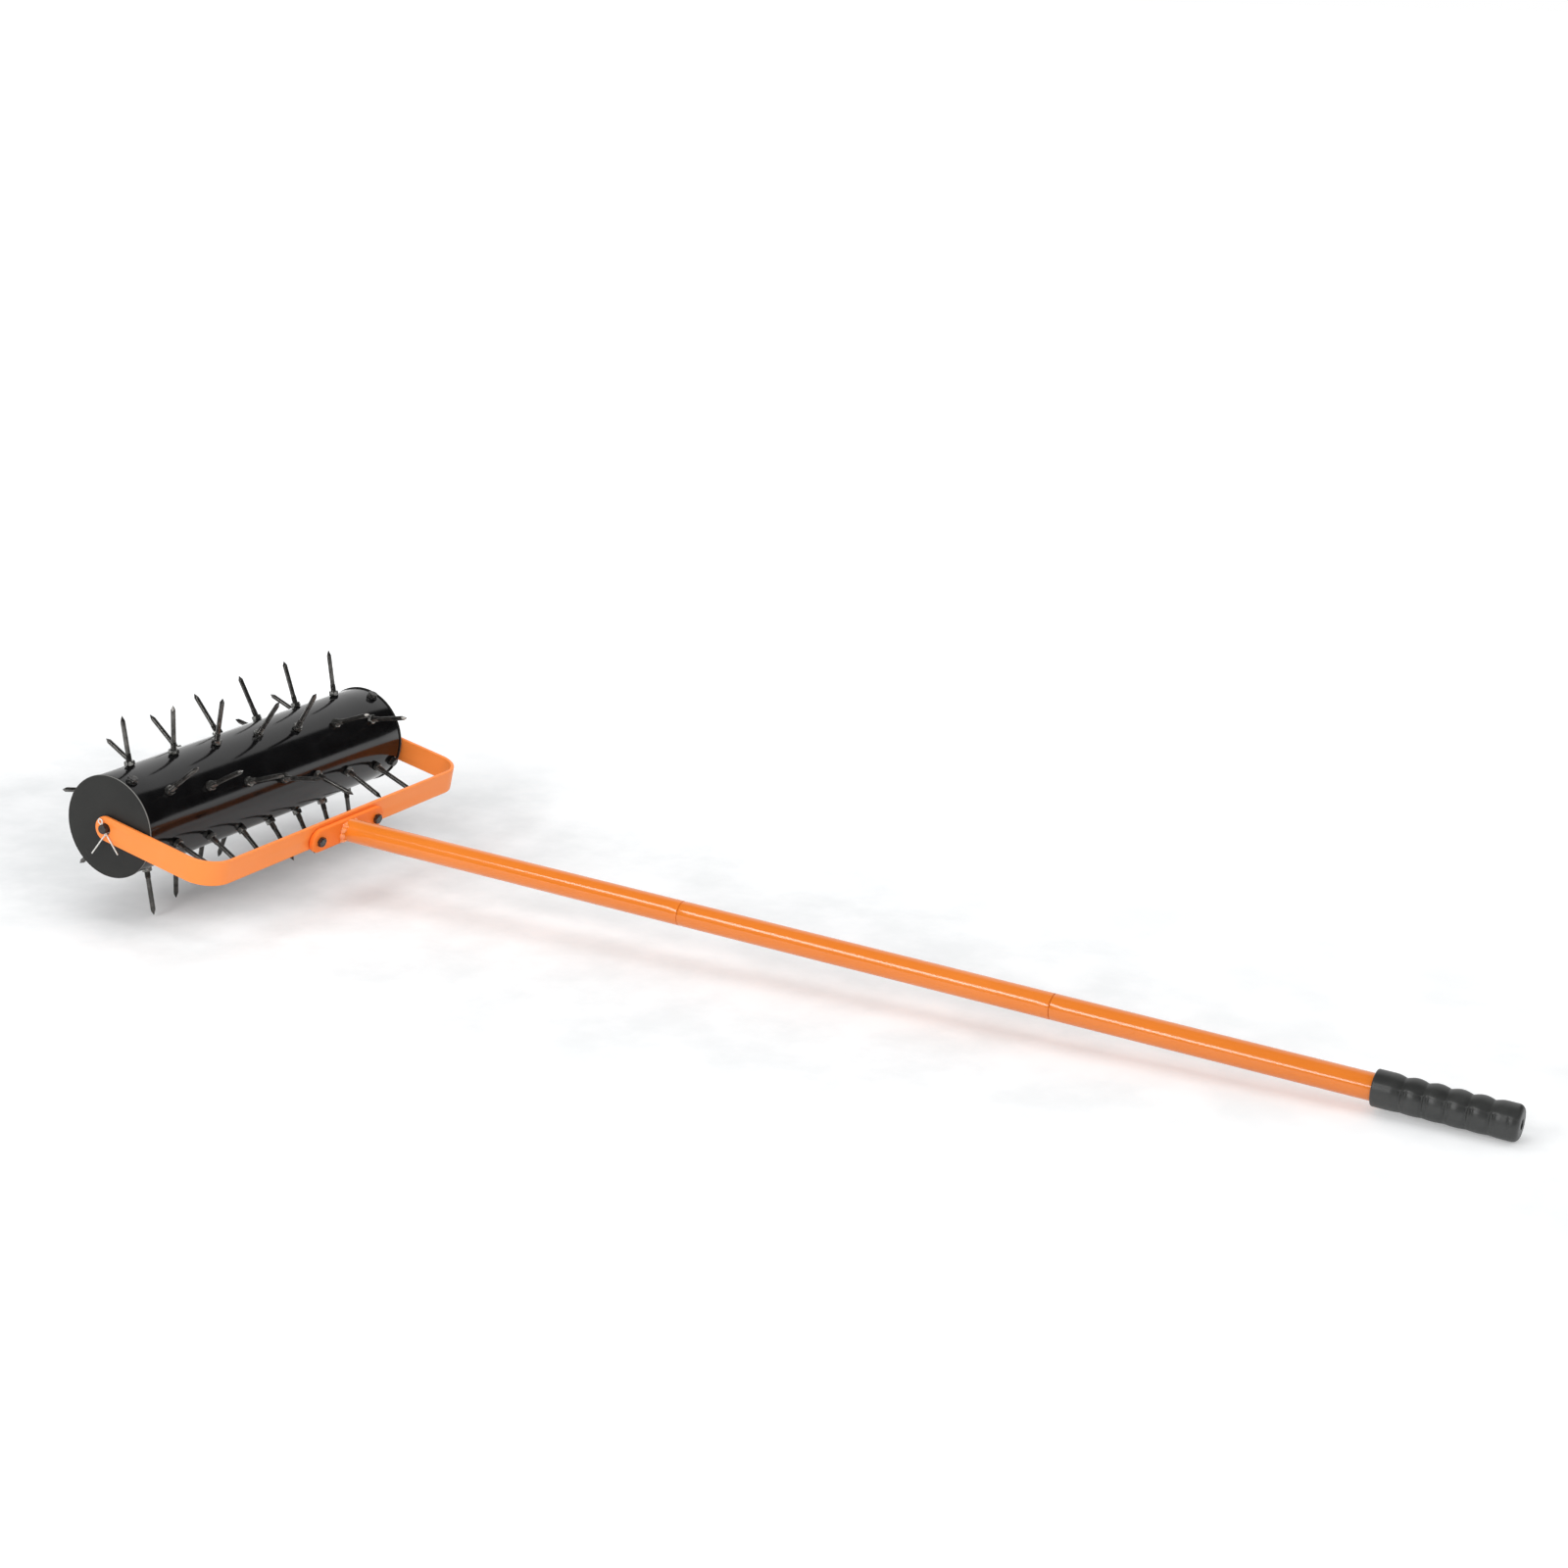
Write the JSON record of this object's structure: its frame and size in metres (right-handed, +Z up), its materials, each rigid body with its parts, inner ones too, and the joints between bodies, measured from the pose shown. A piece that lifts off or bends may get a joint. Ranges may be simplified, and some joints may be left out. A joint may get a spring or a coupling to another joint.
{
  "type": "rolling spike aerator",
  "caption": "Spiked steel drum that turns freely on an axle rod in a bent strap yoke, pushed by a screwed-together tube handle with a finger grip, lying as it rests on the ground",
  "frame": {"origin": "centre of the bounding box's floor, on the ground that the lowest tines and the grip rest on", "axes": "+X runs from the drum to the grip, +Y along the axle to the right-hand end, +Z up"},
  "size_m": [1.5266, 0.4566, 0.2171],
  "materials": {
    "gloss_black": "gloss enamel",
    "cap_black": "matt powder coat",
    "tine_steel": "satin black oxide",
    "black_steel": "satin black oxide",
    "zinc": "bright zinc",
    "orange_strap": "satin enamel",
    "orange_tube": "gloss enamel",
    "grip": "satin moulded"
  },
  "bodies": {
    "frame": {"yoke_strap": "orange_strap", "front_handle_section": "orange_tube", "middle_tube": "orange_tube", "rear_tube": "orange_tube", "finger_grip": "grip", "left_plate_bolt": "black_steel", "right_plate_bolt": "black_steel", "left_plate_nut": "black_steel", "right_plate_nut": "black_steel"},
    "drum": {"drum_shell": "gloss_black", "left_end_cap": "cap_black", "right_end_cap": "cap_black", "axle": "black_steel", "left_split_pin": "zinc", "right_split_pin": "zinc", "left_thrust_washer": "zinc", "right_thrust_washer": "zinc", "tine_1_1": "tine_steel", "tine_1_2": "tine_steel", "tine_1_3": "tine_steel", "tine_1_4": "tine_steel", "tine_1_5": "tine_steel", "tine_1_6": "tine_steel", "tine_1_7": "tine_steel", "tine_2_1": "tine_steel", "tine_2_2": "tine_steel", "tine_2_3": "tine_steel", "tine_2_4": "tine_steel", "tine_2_5": "tine_steel", "tine_2_6": "tine_steel", "tine_2_7": "tine_steel", "tine_3_1": "tine_steel", "tine_3_2": "tine_steel", "tine_3_3": "tine_steel", "tine_3_4": "tine_steel", "tine_3_5": "tine_steel", "tine_3_6": "tine_steel", "tine_3_7": "tine_steel", "tine_4_1": "tine_steel", "tine_4_2": "tine_steel", "tine_4_3": "tine_steel", "tine_4_4": "tine_steel", "tine_4_5": "tine_steel", "tine_4_6": "tine_steel", "tine_4_7": "tine_steel", "tine_5_1": "tine_steel", "tine_5_2": "tine_steel", "tine_5_3": "tine_steel", "tine_5_4": "tine_steel", "tine_5_5": "tine_steel", "tine_5_6": "tine_steel", "tine_5_7": "tine_steel", "tine_6_1": "tine_steel", "tine_6_2": "tine_steel", "tine_6_3": "tine_steel", "tine_6_4": "tine_steel", "tine_6_5": "tine_steel", "tine_6_6": "tine_steel", "tine_6_7": "tine_steel"}
  },
  "joints": [
    {"name": "drum_spin", "type": "hinge", "parent": "frame", "child": "drum", "pos_m": [-0.65481, 0, 0.1086], "axis": [0, 1, 0], "continuous": true}
  ]
}
